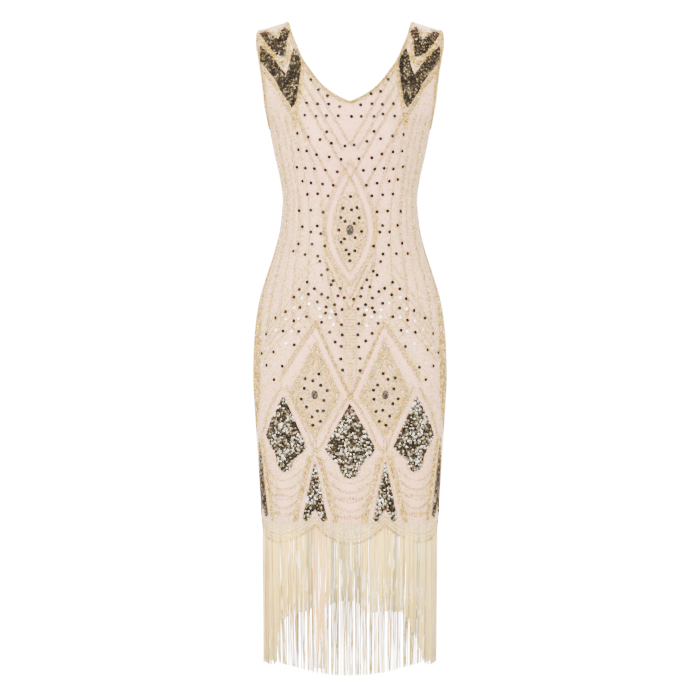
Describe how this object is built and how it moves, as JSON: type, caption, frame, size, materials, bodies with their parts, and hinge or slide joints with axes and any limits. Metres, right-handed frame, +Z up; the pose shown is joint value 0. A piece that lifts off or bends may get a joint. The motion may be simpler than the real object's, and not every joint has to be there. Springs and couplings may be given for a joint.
{
  "type": "flapper dress",
  "caption": "Sleeveless beaded evening dress with a V neck, sequined lozenge and spear motifs, a scalloped hem and long fringe, filled out as worn.",
  "frame": {"origin": "midway between the two shoulder ridges, level with their inner ends, where the wearer's shoulders carry the dress", "axes": "+Z up from hem to neck, -Y out of the front, +X towards the wearer's left"},
  "size_m": [0.347, 0.2464, 1.1944],
  "materials": {
    "net": "fine tulle net, sewn all over with small beads",
    "lining": "pale pink satin, soft sheen",
    "beads": "pale gold glass beads, silver lined",
    "sequins": "dark bronze metallised paillettes, mirror gloss",
    "stones": "dark faceted stones in pale metal settings",
    "fringe": "cream rayon chainette threads, silky"
  },
  "bodies": {
    "root": {"armhole_piping_left": "beads", "armhole_piping_right": "beads", "chevron_back_left_lower": "sequins", "chevron_back_left_upper": "sequins", "chevron_back_right_lower": "sequins", "chevron_back_right_upper": "sequins", "chevron_front_left_lower": "sequins", "chevron_front_left_upper": "sequins", "chevron_front_right_lower": "sequins", "chevron_front_right_upper": "sequins", "fork_back_left": "sequins", "fork_back_right": "sequins", "fork_front_left": "sequins", "fork_front_right": "sequins", "fringe_back": "fringe", "fringe_front": "fringe", "lining_back": "lining", "lining_front": "lining", "neck_piping": "beads", "net_back": "net", "net_front": "net", "spear_back_centre": "sequins", "spear_back_left": "sequins", "spear_back_right": "sequins", "spear_front_centre": "sequins", "spear_front_left": "sequins", "spear_front_right": "sequins", "stone_back_hip_left": "stones", "stone_back_hip_right": "stones", "stone_back_waist": "stones", "stone_front_hip_left": "stones", "stone_front_hip_right": "stones", "stone_front_waist": "stones"}
  },
  "joints": []
}
